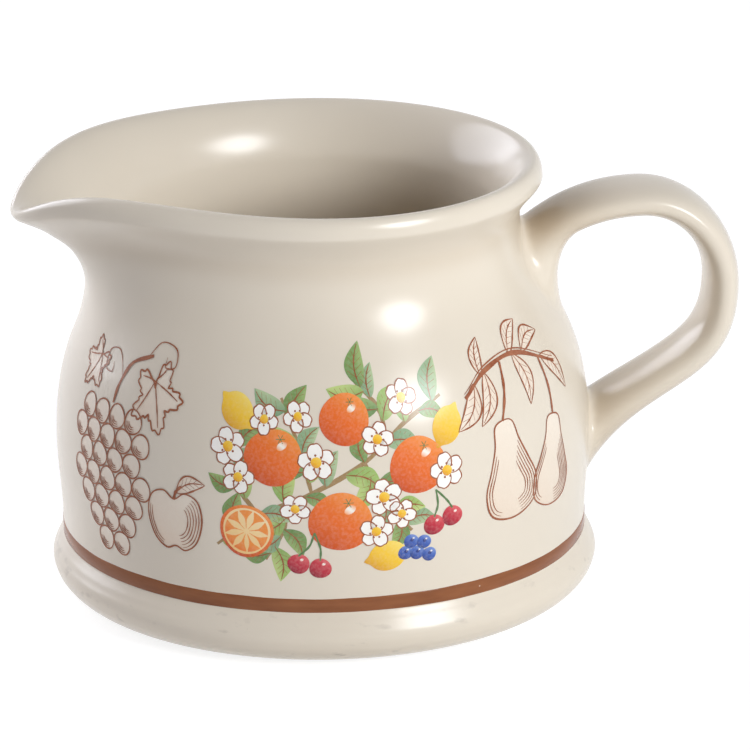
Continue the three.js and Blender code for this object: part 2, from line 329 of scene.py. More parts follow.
APPLE_SHADES = [(10, 32, (0.9, 0.8, 0.7, 0.6, 0.5)), (44, 58, (0.92, 0.84))]
APPLE_DIMPLE = 0.7
APPLE_STALK = [(0, 0), (0.4, 1.4), (1.5, 2.6)]
APPLE_LEAF = [(0.5, 1.4), (6, 3.4)]
APPLE_LEAF_WIDTH = 2.8

# The right print: a branch with leaves and two pears, with their size, turn and place on the branch
PEAR_SEED = 37
PEAR_BRANCH = [(25, 44.5), (31, 48), (40, 49), (51, 45)]
BRANCH_LINE = (0, 0.7)
PEARS = [((33.0, 31.0), 8.8, 6, (35.0, 48.6)), ((44.6, 29.6), 8.0, -9, (46.0, 47.0))]
HALF_PEAR = [(0, 0.98), (0.24, 0.9), (0.33, 0.52), (0.5, 0.1), (0.68, -0.36), (0.56, -0.82), (0, -1)]
PEAR_HEART = -0.36
PEAR_SHADES = [(11, 35, (0.9, 0.8, 0.7, 0.6, 0.5)), (40, 60, (0.9, 0.8))]
PEAR_TOP = 0.97
PEAR_STALK_BEND = (0.4, 0)
PEAR_LEAVES = [
    ((27.5, 46.5), (22.5, 39.5), 3.4), ((30.5, 47.8), (27.5, 39.5), 3.2), ((39, 49), (40.0, 40.5), 3.4),
    ((47, 47), (52.5, 40.0), 3.6), ((38, 49), (44, 53.5), 2.8), ((29.5, 47.4), (31.5, 53), 2.6),
    ((42, 48.8), (49.5, 50.5), 2.8),
]

# Fine detail of the finishes: clouds by size, detail and stretch, specks by size, reach and chance
CLOUD_ENDS = (0.3, 0.7)
GLAZE_CLOUDS = (38, 3)
SHINE_CLOUDS = (9, 4)
RIPPLES = (14, 2)
RIPPLE_DEPTH = 0.05
IRON_SPECKS = (5.5, 0.045, 0.16)
SPECK_CORE = 0.6
SPECK_STEP = 0.01
RUBS = (4.5, 5, (1, 1, 2.2))
RUB_STOPS = ((0.62, 0.0), (0.74, 0.55))
RUB_HEIGHTS = (15, 2)
BARE_HEIGHTS = (0.5, 0.1)
STREAKS = (7, 4, (1, 1, 6))
PINHOLES = (1.6, 0.1, 0.14)
BAND_CLOUDS = (5, 3)
GRAIN = (0.5, 3)
GRAIN_STOPS = ((0.4, 0.0), (0.75, 0.1))
INK_CLOUDS = (1.2, 3)
INK_ENDS = (0.35, 0.75)

# Colours as 0 to 255, and roughness and shine, of the glaze, the clay and the band
GLAZE = (230, 220, 203)
GLAZE_DEEP = (225, 214, 196)
# Painted shade: the darker glaze colour laid in corners, under the rim and low inside
GLAZE_PAINTED_SHADE = (188, 170, 145)
GLAZE_SHINE = (0.19, 0.262)
GLAZE_GLOSS = 0.35
FOOT_SHINE = 0.25
BARE_SHINE = 0.8
SPECK = (150, 128, 104)
RUB = (168, 158, 146)
BARE_CLAY = (205, 186, 160)
BAND = (151, 95, 60)
BAND_DEEP = (135, 81, 50)
BAND_PALE = (214, 190, 168)
BAND_GLOSS = 0.2
BAND_SHINE = (0.16, 0.26)

# Colours of the printed fruit, light, main and deep where there are three
INK = (146, 78, 46)
INK_PALE = (172, 110, 78)
PAPER = (250, 244, 232)
TWIG_BROWN = (158, 128, 84)
PETALS = ((254, 252, 246), (250, 246, 238), (238, 222, 206))
EYES = ((250, 214, 84), (244, 190, 40), (218, 140, 30))
ORANGES = ((244, 148, 66), (232, 108, 34), (200, 74, 24))
PITH = ((252, 226, 178), (250, 214, 152), (246, 200, 130))
LEMONS = ((252, 224, 110), (246, 200, 56), (220, 158, 40))
CHERRIES = ((226, 96, 100), (190, 44, 62), (136, 26, 48))
BERRIES = ((120, 150, 214), (66, 98, 178), (44, 60, 128))
SPRING_GREENS = ((196, 212, 132), (160, 190, 104), (120, 156, 84))
SHADE_GREENS = ((158, 184, 112), (124, 156, 88), (84, 122, 70))
MISTY_GREENS = ((186, 204, 158), (146, 176, 134), (104, 144, 108))
GREENS = (SPRING_GREENS, SHADE_GREENS, MISTY_GREENS)
BLUSH = ((240, 228, 211), (236, 221, 202), (231, 209, 187))

# Lamps: name, degrees round from the handle's side and up, width and height in metres, watts, colour
LAMP_DISTANCE = 0.9
SOFTBOXES = [
    ("key_softbox", -51, 24.4, 0.36, 0.34, 6.35, (0.96, 0.98, 1.0)),
    ("back_softbox", 138, 24, 1.0, 0.66, 7.8, (0.9, 0.915, 1.0)),
]
ROOM_COLOUR = (0.99, 0.955, 1.08)
ROOM_LIGHT = 0.112
FLOOR_SIZE = 5.0
FLOOR_GREY = 0.95
FLOOR_GLOW = 0.85
SHADOW_GREY = 0.28

# Camera, as the photograph was taken, in millimetres and in degrees as for the lamps
VIEW_DISTANCE = 1000
VIEW_ELEVATION = 18.733
VIEW_TURN = -96
VIEW_ROLL = -0.554
AIM_RIGHT = 9.18
AIM_HEIGHT = 36.63
LENS_MM = 275.9
SENSOR_MM = 36.0


def bezier(points, steps):
    """Points along a Bezier curve through its control points."""
    t = np.linspace(0, 1, steps + 1)[:, None]
    layer = [np.array(p, float) for p in points]
    while len(layer) > 1:
        layer = [a * (1 - t) + b * t for a, b in zip(layer, layer[1:])]
    return layer[0]


def circle(angle):
    """Points on a circle of radius 1, at angles in radians."""
    return np.column_stack([np.cos(angle), np.sin(angle)])


def arc(centre, radii, start, end, steps):
    """Points along an ellipse, between two angles in degrees."""
    angle = np.radians(np.linspace(start, end, steps + 1))
    return np.array(centre) + np.array(radii) * circle(angle)


def chain(*runs):
    """Runs of points joined end to end."""
    return np.vstack([runs[0]] + [run[1:] for run in runs[1:]])


def sideways(points):
    """Unit vectors to the right of a line, at its points."""
    along = np.gradient(points, axis=0)
    along /= np.linalg.norm(along, axis=1)[:, None]
    return np.column_stack([along[:, 1], -along[:, 0]])


def offset_line(points, distance):
    """Points moved sideways off their own line."""
    return points + distance * sideways(points)


def bell(distance, height, span):
    """A height at no distance that falls softly to nothing past a span."""
    return height * np.exp(-((distance / span) ** 2))


def around_axis(radius, angle, height):
    """Points round the jug's axis, at angles in radians."""
    return np.stack([radius * np.cos(angle), radius * np.sin(angle), height], -1)


def axis_distance(points):
    """How far points are from the jug's axis."""
    return np.hypot(points[..., 0], points[..., 1])


def foot_line():
    """Outline of the foot, with the faint rings that the turning tool left."""
    under_steps, over_steps = FOOT_STEPS
    roll = (FOOT_RADIUS - FOOT_LAND_RADIUS, FOOT_WIDEST_Z)
    under = arc((FOOT_LAND_RADIUS, FOOT_WIDEST_Z), roll, -90, 0, under_steps)
    widest = (FOOT_RADIUS, FOOT_WIDEST_Z)
    crown = (FOOT_RADIUS, FOOT_WIDEST_Z + FOOT_EDGE)
    over = bezier([widest, crown, (WALL_RADIUS, FOOT_TOP_Z)], over_steps)
    smooth_foot = chain(under, over)
    height = smooth_foot[:, 1]
    low_end, high_end = TOOL_RING_ENDS
    fade = np.clip(height / low_end - 1, 0, 1) * np.clip((FOOT_TOP_Z - height) / high_end, 0, 1)
    rings = TOOL_RING_DEPTH * np.sin(2 * np.pi * height / TOOL_RING_PITCH) * fade
    return offset_line(smooth_foot, rings[:, None])


def wall_line():
    """Outline of the outside wall, from the foot up to the neck."""
    band_steps, belly_steps, shoulder_steps = WALL_STEPS
    rise = (BELLY_Z - BAND_TOP_Z) / 3
    foot = (WALL_RADIUS, FOOT_TOP_Z)
    band = (WALL_RADIUS, BAND_TOP_Z)
    belly = (BELLY_RADIUS, BELLY_Z)
    neck = (NECK_RADIUS, NECK_Z)
    low_pulls = (WALL_RADIUS, BAND_TOP_Z + rise), (BELLY_RADIUS, BELLY_Z - rise)
    high_pulls = (BELLY_RADIUS, BELLY_Z + SHOULDER_PULL), (NECK_RADIUS, NECK_Z - NECK_PULL)
    return chain(
        bezier([foot, band], band_steps),
        bezier([band, *low_pulls, belly], belly_steps),
        bezier([belly, *high_pulls, neck], shoulder_steps),
    )


def flare_line():
    """Outline of the flare from the neck out to the rim."""
    neck = (NECK_RADIUS, NECK_Z)
    rim = (RIM_RADIUS, RIM_Z)
    pulls = (NECK_RADIUS, NECK_Z + FLARE_PULL), (RIM_RADIUS, RIM_Z - RIM_PULL)
    return bezier([neck, *pulls, rim], FLARE_STEPS)


def jug_outline(rim_edge):
    """Half section of the jug, from under its floor round the outside to its floor inside."""
    flat_steps, recess_steps = BASE_STEPS
    corner_steps, floor_steps = FLOOR_STEPS
    land_inside = FOOT_LAND_RADIUS - FOOT_LAND_WIDTH
    slope = land_inside - 2 * BASE_RECESS
    recess = [
        (slope, BASE_RECESS),
        (slope + BASE_RECESS, BASE_RECESS),
        (land_inside - BASE_RECESS / 2, 0),
        (land_inside, 0),
    ]
    flat = bezier([(FLAT_MIDDLE, BASE_RECESS), recess[0]], flat_steps)
    underside = chain(flat, bezier(recess, recess_steps))
    wall = wall_line()
    top_radius = RIM_RADIUS - rim_edge
    roll = arc((top_radius, RIM_Z), (rim_edge, RIM_ROLL), 0, 90, ROLL_STEPS)
    inner = offset_line(wall, -WALL_THICKNESS)[::-1]
    throat = inner[0]
    mouth = [
        (top_radius, JUG_HEIGHT),
        (top_radius - MOUTH_PULL, JUG_HEIGHT),
        (throat[0], throat[1] + THROAT_PULL),
        throat,
    ]
    corner_top = FLOOR_Z + FLOOR_CORNER
    inner = inner[inner[:, 1] > corner_top]
    corner_middle = (inner[-1, 0] - FLOOR_CORNER, corner_top)
    corner = arc(corner_middle, (FLOOR_CORNER, FLOOR_CORNER), 0, -90, corner_steps)
    floor = bezier([corner[-1], (FLAT_MIDDLE, FLOOR_Z)], floor_steps)
    outside = chain(wall, flare_line(), roll, bezier(mouth, MOUTH_STEPS), inner)
    return np.vstack([underside, foot_line()[:-1], outside, corner[:-1], floor])


def pull_lip(points):
    """Moves points of the upper wall and rim into the pouring lip."""
    x, y, z = np.moveaxis(np.asarray(points, float), -1, 0)
    share = np.clip((z - JUG_HEIGHT + LIP_DEPTH) / LIP_DEPTH, 0, None)
    facing = (1 - x / np.hypot(x, y)) / 2
    start = np.hypot(share, LIP_SOFTNESS) - LIP_SOFTNESS
    pull = start / (math.hypot(1, LIP_SOFTNESS) - LIP_SOFTNESS)
    fill = bell(z - NECK_Z - FLARE_PULL / 2, LIP_FILL, LIP_FILL_SPAN) * facing**LIP_FILL_FOCUS
    rise = LIP_RISE * facing**LIP_RISE_FOCUS - (LIP_DROP + LIP_RISE) * facing**LIP_DROP_FOCUS
    reach = LIP_REACH * pull * facing**LIP_REACH_FOCUS + fill
    return np.stack([x - reach, y, z + rise * share**LIP_BEND], -1)


def net_faces(rows, columns, closed=True):
    """Quads of a net of points in rows, which are closed rings or open lines."""
    across = columns if closed else columns - 1
    row, column = np.meshgrid(np.arange(rows - 1), np.arange(across), indexing="ij")
    here = row * columns + column
    beside = row * columns + (column + 1) % columns
    return np.stack([here, beside, beside + columns, here + columns], -1).reshape(-1, 4)


def add_object(name, data):
    """An object of the scene."""
    thing = bpy.data.objects.new(name, data)
    bpy.context.scene.collection.objects.link(thing)
    return thing


def add_piece(name, vertices, faces, material):
    """A smooth mesh from points in millimetres round the jug's axis."""
    mesh = bpy.data.meshes.new(name)
    places = np.asarray(vertices).reshape(-1, 3) * MM + [AXIS_X, 0, 0]
    mesh.from_pydata(places.tolist(), [], faces)
    mesh.validate()
    mesh.shade_smooth()
    mesh.materials.append(material)
    piece = add_object(name, mesh)
    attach(piece, "root")
    return piece


def mark_painted_shade(piece, shares):
    """Says how much painted shade darkens the glaze at each point, from none at 0 to most at 1."""
    painted_shade = piece.data.attributes.new("painted_shade", "FLOAT", "POINT")
    painted_shade.data.foreach_set("value", np.clip(shares, 0, 1))


def soft_step(values, low, high):
    """Shares that go softly from 0 at a low value to 1 at a high one."""
    rise = np.clip((values - low) / (high - low), 0, 1)
    return rise**2 * (3 - 2 * rise)


def outside_line():
    """Outline of the jug's outside, from the foot up to the rim."""
    return chain(foot_line(), wall_line(), flare_line())


def on_outside(points, sink):
    """Points moved straight in or out to a depth under the jug's outside."""
    outside = outside_line()
    radius = np.interp(points[..., 2], outside[:, 1], outside[:, 0]) - sink
    scale = radius / axis_distance(points)
    return points * np.stack([scale, scale, np.ones_like(scale)], -1)


def wall_normal(points):
    """Way straight out of the jug's outside at points on it."""
    outside = outside_line()
    slope = np.gradient(outside[:, 0], outside[:, 1])
    lean = np.interp(points[:, 2], outside[:, 1], slope)
    normal = np.column_stack([points[:, :2] / axis_distance(points)[:, None], -lean])
    return normal / np.linalg.norm(normal, axis=1)[:, None]


def off_outside(points):
    """How far points stand off the jug's outside, before its lip is pulled."""
    return axis_distance(points) - axis_distance(on_outside(points, 0))


def high_share(points):
    """Painted shade is strongest on the top of the upper root, with a little on the lower one."""
    height = points[:, 2]
    upper = soft_step(height, *PAINTED_SHADE_HEIGHTS)
    return upper + LOWER_PAINTED_SHADE * (1 - soft_step(height, *LOWER_PAINTED_SHADE_HEIGHTS))


def root_painted_shade(points):
    """Painted shade on the handle, deepest a little way out from the jug."""
    off = off_outside(points)
    deepest, span = ROOT_PAINTED_SHADE
    deep = CORNER_PAINTED_SHADE[0] + (deepest - CORNER_PAINTED_SHADE[0]) * soft_step(off, 0, ROOT_PAINTED_SHADE_RISE)
    return bell(off, deep, span) * high_share(points)


def jug_painted_shade(points, handle):
    """Painted shade in the corners round the handle, in the hollow under the rim and low down inside."""
    roots = KDTree(len(handle))
    for number, place in enumerate(handle):
        roots.insert(place, number)
    roots.balance()
    away = np.array([roots.find(place)[2] for place in points])
    outside = np.abs(off_outside(points)) < WALL_THICKNESS / 4
    hollow = bell(points[:, 2] - NECK_Z, *RIM_PAINTED_SHADE)
    inside = INSIDE_PAINTED_SHADE[0] * np.clip((NECK_Z - points[:, 2]) / INSIDE_PAINTED_SHADE[1], 0, 1)
    corner = bell(away, *CORNER_PAINTED_SHADE) * high_share(points)
    underneath = points[:, 2] < FLOOR_Z - FLOOR_THICKNESS / 2
    return np.where(outside, corner + hollow, np.where(underneath, 0, inside))


def build_jug(material, handle):
    """The jug, turned from its outline, with a rounder edge where its lip is pulled."""
    outline = jug_outline(RIM_EDGE)
    fuller = jug_outline(LIP_EDGE) - outline
    angle = np.linspace(0, 2 * np.pi, TURN_STEPS, endpoint=False)
    share = ((1 - np.cos(angle)) / 2) ** LIP_REACH_FOCUS
    radius, height = np.moveaxis(outline[:, None] + fuller[:, None] * share[:, None], -1, 0)
    rings = around_axis(radius, angle, height)
    faces = net_faces(len(outline), TURN_STEPS).tolist()
    last = (len(outline) - 1) * TURN_STEPS
    faces.append(list(range(TURN_STEPS))[::-1])
    faces.append(list(range(last, last + TURN_STEPS)))
    jug = add_piece("glazed_jug", pull_lip(rings), faces, material)
    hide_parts("jug_body")
    # Painted shade in the glaze: darker in the corners round the handle, under the rim and low inside
    mark_painted_shade(jug, jug_painted_shade(rings.reshape(-1, 3), handle))


def strap_paths():
    """Outer edge, way inwards, thickness and width of the handle along its length."""
    start = np.array([NECK_RADIUS - ROOT_BURIAL, NECK_Z - HANDLE_START_DEPTH])
    end = np.array([BELLY_RADIUS - SEAT_GAP, HANDLE_END_Z])
    top = (HANDLE_TOP_X, HANDLE_TOP_Z)
    widest = (HANDLE_REACH, HANDLE_WIDEST_Z)
    climb_angle, land_angle = np.radians([UPPER_ARM_ANGLE, LOWER_ARM_ANGLE])
    climb = start + UPPER_ARM_PULL * circle(climb_angle)[0]
    land = end + LOWER_ARM_PULL * circle(land_angle)[0]
    across_top = HANDLE_TOP_X + LOOP_ROUNDNESS * (HANDLE_REACH - HANDLE_TOP_X)
    down_side = HANDLE_WIDEST_Z + LOOP_ROUNDNESS * (HANDLE_TOP_Z - HANDLE_WIDEST_Z)
    rough = chain(
        bezier([start, climb, (HANDLE_TOP_X - LOOP_TOP_PULL, HANDLE_TOP_Z), top], STRAP_SAMPLES),
        bezier([top, (across_top, HANDLE_TOP_Z), (HANDLE_REACH, down_side), widest], STRAP_SAMPLES),
        bezier([widest, (HANDLE_REACH, HANDLE_WIDEST_Z - LOOP_SIDE_PULL), land, end], STRAP_SAMPLES),
    )
    run = np.concatenate([[0], np.cumsum(np.linalg.norm(np.diff(rough, axis=0), axis=1))])
    path = np.linspace(0, run[-1], STRAP_SAMPLES + 1)
    outer = np.column_stack([np.interp(path, run, rough[:, i]) for i in range(2)])
    inwards = sideways(outer)
    upper = np.clip(1 - path / UPPER_ROOT_LENGTH, 0, None) ** 2
    lower = np.clip(1 - (run[-1] - path) / LOWER_ROOT_LENGTH, 0, None) ** 2
    thickness = STRAP_THICKNESS + UPPER_ROOT_HEIGHT * upper + LOWER_ROOT_HEIGHT * lower
    taper = STRAP_WIDTH + (STRAP_LOWER_WIDTH - STRAP_WIDTH) * path / run[-1]
    width = taper + UPPER_ROOT_FLARE * upper + LOWER_ROOT_FLARE * lower
    return path, outer, inwards, thickness, width


def rounded_power(value):
    """Cosines or sines bent from a round section towards a squarer one."""
    return np.sign(value) * np.abs(value) ** (2 / STRAP_ROUNDNESS)


def root_fillet(last, contact, reach):
    """Rings that carry the end of the handle on to the jug in a soft hollow curve."""
    middle = contact.mean(0)
    outwards = contact - middle
    normal = wall_normal(contact)
    outwards -= normal * (outwards * normal).sum(1)[:, None]
    outwards /= np.linalg.norm(outwards, axis=1)[:, None]
    skirt = on_outside(contact + outwards * reach[:, None], FILLET_SINK)
    facing = wall_normal(skirt)
    corner = contact - facing * ((contact - skirt) * facing).sum(1)[:, None]
    t = np.linspace(0, 1, FILLET_STEPS + 1)[1:, None, None]
    rings = last * (1 - t) ** 2 + corner * 2 * t * (1 - t) + skirt * t**2
    hidden = [on_outside(skirt + outwards * FILLET_HEM, sink) for sink in FILLET_HEM_SINKS]
    tip = on_outside(middle[None], WALL_THICKNESS / 2)
    return np.concatenate([rings, hidden]), tip


def build_handle(material):
    """The strap, carried on to the jug at both ends, and its points for the jug's painted shade."""
    path, outer, inwards, thickness, width = strap_paths()
    angle = np.linspace(0, 2 * np.pi, SECTION_STEPS, endpoint=False)
    lift = rounded_power(np.cos(angle))
    side = rounded_power(np.sin(angle))
    depth = thickness[:, None] * (1 - lift) / 2
    lines = np.stack([
        outer[:, :1] + inwards[:, :1] * depth,
        width[:, None] * side / 2,
        outer[:, 1:] + inwards[:, 1:] * depth,
    ], -1)
    buried = off_outside(lines) <= 0
    half = STRAP_SAMPLES // 2
    upper_end, lower_end = buried[:half][::-1], buried[half:]
    first = half - np.argmax(upper_end, axis=0)
    last_free = np.where(lower_end.any(0), np.argmax(lower_end, axis=0), STRAP_SAMPLES - half)
    final = half + last_free - 1
    under = (1 - np.cos(angle)) / 2
    upper_reach = np.interp(under, (0, 1), UPPER_FILLET)
    lower_reach = np.interp(under, (0, 1), LOWER_FILLET)

    def at(column, where):
        return np.column_stack([np.interp(where, path, lines[:, column, i]) for i in range(3)])

    columns = range(SECTION_STEPS)
    steps = np.linspace(0, 1, STRAP_STEPS + 1)
    begin = path[first] + upper_reach
    stop = path[final] - lower_reach
    strap = np.stack([at(k, begin[k] + (stop[k] - begin[k]) * steps) for k in columns], 1)
    upper, upper_tip = root_fillet(strap[0], lines[first, columns], upper_reach)
    lower, lower_tip = root_fillet(strap[-1], lines[final, columns], lower_reach)
    rings = np.concatenate([upper[::-1], strap, lower])
    faces = net_faces(len(rings), SECTION_STEPS).tolist()
    last = rings.shape[0] * SECTION_STEPS
    for k in columns:
        following = (k + 1) % SECTION_STEPS
        faces.append([following, k, last])
        faces.append([last - SECTION_STEPS + k, last - SECTION_STEPS + following, last + 1])
    vertices = np.vstack([rings.reshape(-1, 3), upper_tip, lower_tip])
    handle = add_piece("strap_handle", vertices, faces, material)
    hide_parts("handle", "upper_slip_joint", "lower_slip_joint")
    # Painted shade in the glaze on the handle, near where it meets the jug
    mark_painted_shade(handle, root_painted_shade(vertices))
    return vertices


def build_band(material):
    """The painted line, whose edges waver a little as the brush did."""
    angle = np.linspace(0, 2 * np.pi, TURN_STEPS * 2, endpoint=False)
    waver = BAND_WAVER * sum(share * np.sin(waves * angle + start) for waves, start, share in BAND_WAVES)
    low = FOOT_TOP_Z + BAND_SOFTNESS / 2 + waver[::-1] * LOWER_WAVER
    high = BAND_TOP_Z + waver
    section = [
        (-PAINT_DEPTH, low - BAND_SOFTNESS / 2),
        (PAINT_DEPTH, low + BAND_SOFTNESS / 2),
        (PAINT_DEPTH, (low + high) / 2),
        (PAINT_DEPTH, high - BAND_SOFTNESS),
        (-PAINT_DEPTH, high),
        (-PAINT_ROOT, (low + high) / 2),
    ]
    rings = [around_axis(WALL_RADIUS + depth, angle, height) for depth, height in section]
    faces = net_faces(len(section) + 1, len(angle)) % (len(section) * len(angle))
    band = add_piece("painted_band", np.concatenate(rings), faces.tolist(), material)
    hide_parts("brown_band")


def linear(colour):
    """A colour written as 0 to 255, as the shaders take it."""
    share = np.array(colour) / 255
    return np.where(share > 0.04045, ((share + 0.055) / 1.055) ** 2.4, share / 12.92)


def shade_of(value):
    """What a socket takes for a grey, which is one number, or for a colour."""
    grey = np.ndim(value) == 0
    return (*([value] * 3 if grey else linear(value)), 1)


def add_node(tree, kind, links=(), **values):
    """A shader node with its values set and its inputs linked."""
    node = tree.nodes.new(kind)
    for socket, value in values.items():
        node.inputs[socket.replace("_", " ")].default_value = value
    for socket, source in links:
        tree.links.new(source, node.inputs[socket])
    return node


class Finish:
    """A procedural material and the short ways to add its nodes."""

    def __init__(self, name, gloss):
        self.material = bpy.data.materials.new(name)
        self.material.use_nodes = True
        self.tree = self.material.node_tree
        self.surface = self.tree.nodes["Principled BSDF"]
        self.surface.inputs["Roughness"].default_value = GLAZE_SHINE[0]
        self.surface.inputs["Specular IOR Level"].default_value = gloss
        self.place = self.add("ShaderNodeTexCoord").outputs["Object"]

    def add(self, kind, links=(), **values):
        return add_node(self.tree, kind, links, **values)

    def noise(self, size_mm, detail, stretch=None):
        """Clouds of a size, squeezed along an axis where a stretch is given."""
        source = self.place
        if stretch:
            source = self.add("ShaderNodeMapping", [("Vector", source)], Scale=stretch).outputs["Vector"]
        scale = 1 / (size_mm * MM)
        node = self.add("ShaderNodeTexNoise", [("Vector", source)], Scale=scale, Detail=detail)
        return node.outputs["Fac"]

    def ramp(self, source, *stops):
        """Colours or greys at stops along a value."""
        node = self.add("ShaderNodeValToRGB", [("Fac", source)])
        stop_list = node.color_ramp.elements
        while len(stop_list) < len(stops):
            stop_list.new(1)
        for element, (position, colour) in zip(stop_list, stops):
            element.position = position
            element.color = shade_of(colour)
        return node.outputs["Color"]

    def clouds(self, cloud, low, high, ends=CLOUD_ENDS):
        """Colours or greys that drift softly between two."""
        return self.ramp(self.noise(*cloud), (ends[0], low), (ends[1], high))

    def mark(self, name):
        """An attribute that the mesh carries."""
        node = self.add("ShaderNodeAttribute")
        node.attribute_name = name
        return node

    def blend(self, share, under, over):
        """A colour between two; the node's colour sockets have numbers, as their names repeat."""
        node = self.add("ShaderNodeMix")
        node.data_type = "RGBA"
        self.tree.links.new(share, node.inputs["Factor"])
        for socket, value in ((node.inputs[6], under), (node.inputs[7], over)):
            if hasattr(value, "links"):
                self.tree.links.new(value, socket)
            else:
                socket.default_value = shade_of(value)
        return node.outputs[2]

    def times(self, one, other):
        node = self.add("ShaderNodeMath", [(0, one), (1, other)])
        node.operation = "MULTIPLY"
        return node.outputs[0]

    def height(self, low_mm, high_mm):
        """0 at one height over the table and 1 at another."""
        split = self.add("ShaderNodeSeparateXYZ", [("Vector", self.place)])
        ends = {"From_Min": low_mm * MM, "From_Max": high_mm * MM}
        return self.add("ShaderNodeMapRange", [("Value", split.outputs["Z"])], **ends).outputs["Result"]

    def specks(self, size_mm, reach, chance):
        """Small dots, one in some of the cells of a size."""
        cell = self.add("ShaderNodeTexVoronoi", [("Vector", self.place)], Scale=1 / (size_mm * MM))
        dot = self.ramp(cell.outputs["Distance"], (reach * SPECK_CORE, 1.0), (reach, 0.0))
        pick = self.add("ShaderNodeSeparateColor", [("Color", cell.outputs["Color"])])
        chosen = self.ramp(pick.outputs["Red"], (chance, 1.0), (chance + SPECK_STEP, 0.0))
        return self.times(dot, chosen)

    def bump(self, source, depth_mm):
        node = self.add("ShaderNodeBump", [("Height", source)], Strength=1.0, Distance=depth_mm * MM)
        self.tree.links.new(node.outputs["Normal"], self.surface.inputs["Normal"])

    def paint(self, socket, source):
        self.tree.links.new(source, self.surface.inputs[socket])


def glaze_finish():
    """Warm white glaze: soft clouds, iron specks, grey rubs by the foot, painted shade in its hollows,
    bare clay under it.
    """
    glaze = Finish("cream_glaze", GLAZE_GLOSS)
    clouds = glaze.clouds(GLAZE_CLOUDS, GLAZE_DEEP, GLAZE)
    specked = glaze.blend(glaze.specks(*IRON_SPECKS), clouds, SPECK)
    rubs = glaze.times(glaze.ramp(glaze.noise(*RUBS), *RUB_STOPS), glaze.height(*RUB_HEIGHTS))
    rubbed = glaze.blend(rubs, specked, RUB)
    # Painted shade: the glaze turns darker where the mesh marks shade
    glaze_with_painted_shade = glaze.blend(glaze.mark("painted_shade").outputs["Fac"], rubbed, GLAZE_PAINTED_SHADE)
    under = glaze.height(*BARE_HEIGHTS)
    glaze.paint("Base Color", glaze.blend(under, glaze_with_painted_shade, BARE_CLAY))
    shine = glaze.clouds(SHINE_CLOUDS, *GLAZE_SHINE)
    worn = glaze.blend(glaze.height(FOOT_TOP_Z, BAND_TOP_Z), FOOT_SHINE, shine)
    glaze.paint("Roughness", glaze.blend(under, worn, BARE_SHINE))
    glaze.bump(glaze.noise(*RIPPLES), RIPPLE_DEPTH)
    return glaze.material


def band_finish():
    """Thin brown enamel, streaked by the brush, with pale pinholes."""
    band = Finish("brown_enamel", BAND_GLOSS)
    streaks = band.clouds(STREAKS, BAND_DEEP, BAND)
    band.paint("Base Color", band.blend(band.specks(*PINHOLES), streaks, BAND_PALE))
    band.paint("Roughness", band.clouds(BAND_CLOUDS, *BAND_SHINE))
    return band.material


def paint_finish():
    """Thin enamel colours under the shine of the glaze, a little grainy where the pigment lay."""
    paint = Finish("print_enamel", GLAZE_GLOSS)
    grain = paint.ramp(paint.noise(*GRAIN), *GRAIN_STOPS)
    paint.paint("Base Color", paint.blend(grain, paint.mark("shade").outputs["Color"], PAPER))
    paint.paint("Roughness", paint.clouds(SHINE_CLOUDS, *GLAZE_SHINE))
    return paint.material


def ink_finish():
    """Brown printing ink, a little uneven along its lines."""
    ink = Finish("print_ink", GLAZE_GLOSS)
    ink.paint("Base Color", ink.clouds(INK_CLOUDS, INK, INK_PALE, INK_ENDS))
    ink.paint("Roughness", ink.clouds(SHINE_CLOUDS, *GLAZE_SHINE))
    return ink.material


def mixed(under, over, share):
    """Colours between two, by shares of any shape."""
    share = np.asarray(share, float)[..., None]
    return np.asarray(under) * (1 - share) + np.asarray(over) * share


def smooth(points, steps=CURVE_STEPS, closed=False):
    """A soft line through points."""
    p = np.array(points, float)
    before, after = (p[-1:], p[:2]) if closed else ([2 * p[0] - p[1]], [2 * p[-1] - p[-2]])
    p = np.vstack([before, p, after])
    t = np.linspace(0, 1, steps, endpoint=False)[:, None]
    runs = [
        b + t * (c - a) / 2 + t**2 * (a - 2.5 * b + 2 * c - d / 2) + t**3 * (1.5 * (b - c) + (d - a) / 2)
        for a, b, c, d in zip(p, p[1:], p[2:], p[3:])
    ]
    return np.vstack(runs + [p[-2]])


def turned(points, degrees):
    """Points turned round the origin of the drawing."""
    turn = math.radians(degrees)
    spin = np.array([[math.cos(turn), math.sin(turn)], [-math.sin(turn), math.cos(turn)]])
    return np.asarray(points) @ spin


def leaf_form(base, tip, width, points):
    """Middle rib, way across and half widths of a pointed leaf that bends a little."""
    base = np.array(base, float)
    span = tip - base
    length = np.linalg.norm(span)
    across = np.array([-span[1], span[0]]) / length
    share = np.linspace(0, 1, points)
    bend = LEAF_BEND * length * np.sin(np.pi * share)
    rib = base + span * share[:, None] + across * bend[:, None]
    half = width / 2 * np.sin(np.pi * share ** LEAF_FULLNESS[0]) ** LEAF_FULLNESS[1]
    return rib, across, half


